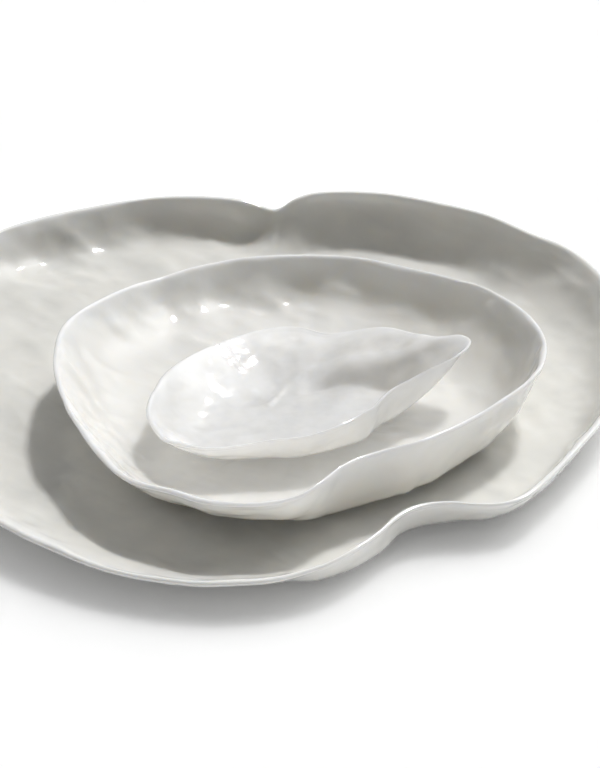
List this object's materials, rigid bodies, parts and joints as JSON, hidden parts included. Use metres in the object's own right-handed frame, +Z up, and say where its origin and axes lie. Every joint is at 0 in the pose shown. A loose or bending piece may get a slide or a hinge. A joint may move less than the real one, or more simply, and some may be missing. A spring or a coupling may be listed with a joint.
{
  "type": "nested plate set",
  "caption": "Glossy white porcelain dinner plate, dessert plate and small spouted leaf dish with wavy hand-formed rims, nested in each other for serving food.",
  "frame": {"origin": "on the table, below the middle of the set's bounding box", "axes": "+Z up from the table, -Y towards the viewer of the picture, +X to the viewer's right"},
  "size_m": [0.3152, 0.3018, 0.0374],
  "materials": {
    "dinner_porcelain": "clear gloss glaze over white porcelain",
    "dessert_porcelain": "clear gloss glaze over white porcelain",
    "dish_porcelain": "clear gloss glaze over white porcelain"
  },
  "bodies": {
    "dinner_plate": {"dinner_plate": "dinner_porcelain"},
    "dessert_plate": {"dessert_plate": "dessert_porcelain"},
    "small_dish": {"small_dish": "dish_porcelain"}
  },
  "joints": [
    {"name": "dessert_plate_lift", "type": "slide", "parent": "dinner_plate", "child": "dessert_plate", "axis": [0, 0, 1], "range_m": [0, 0.06]},
    {"name": "small_dish_lift", "type": "slide", "parent": "dessert_plate", "child": "small_dish", "axis": [0, 0, 1], "range_m": [0, 0.06]}
  ]
}
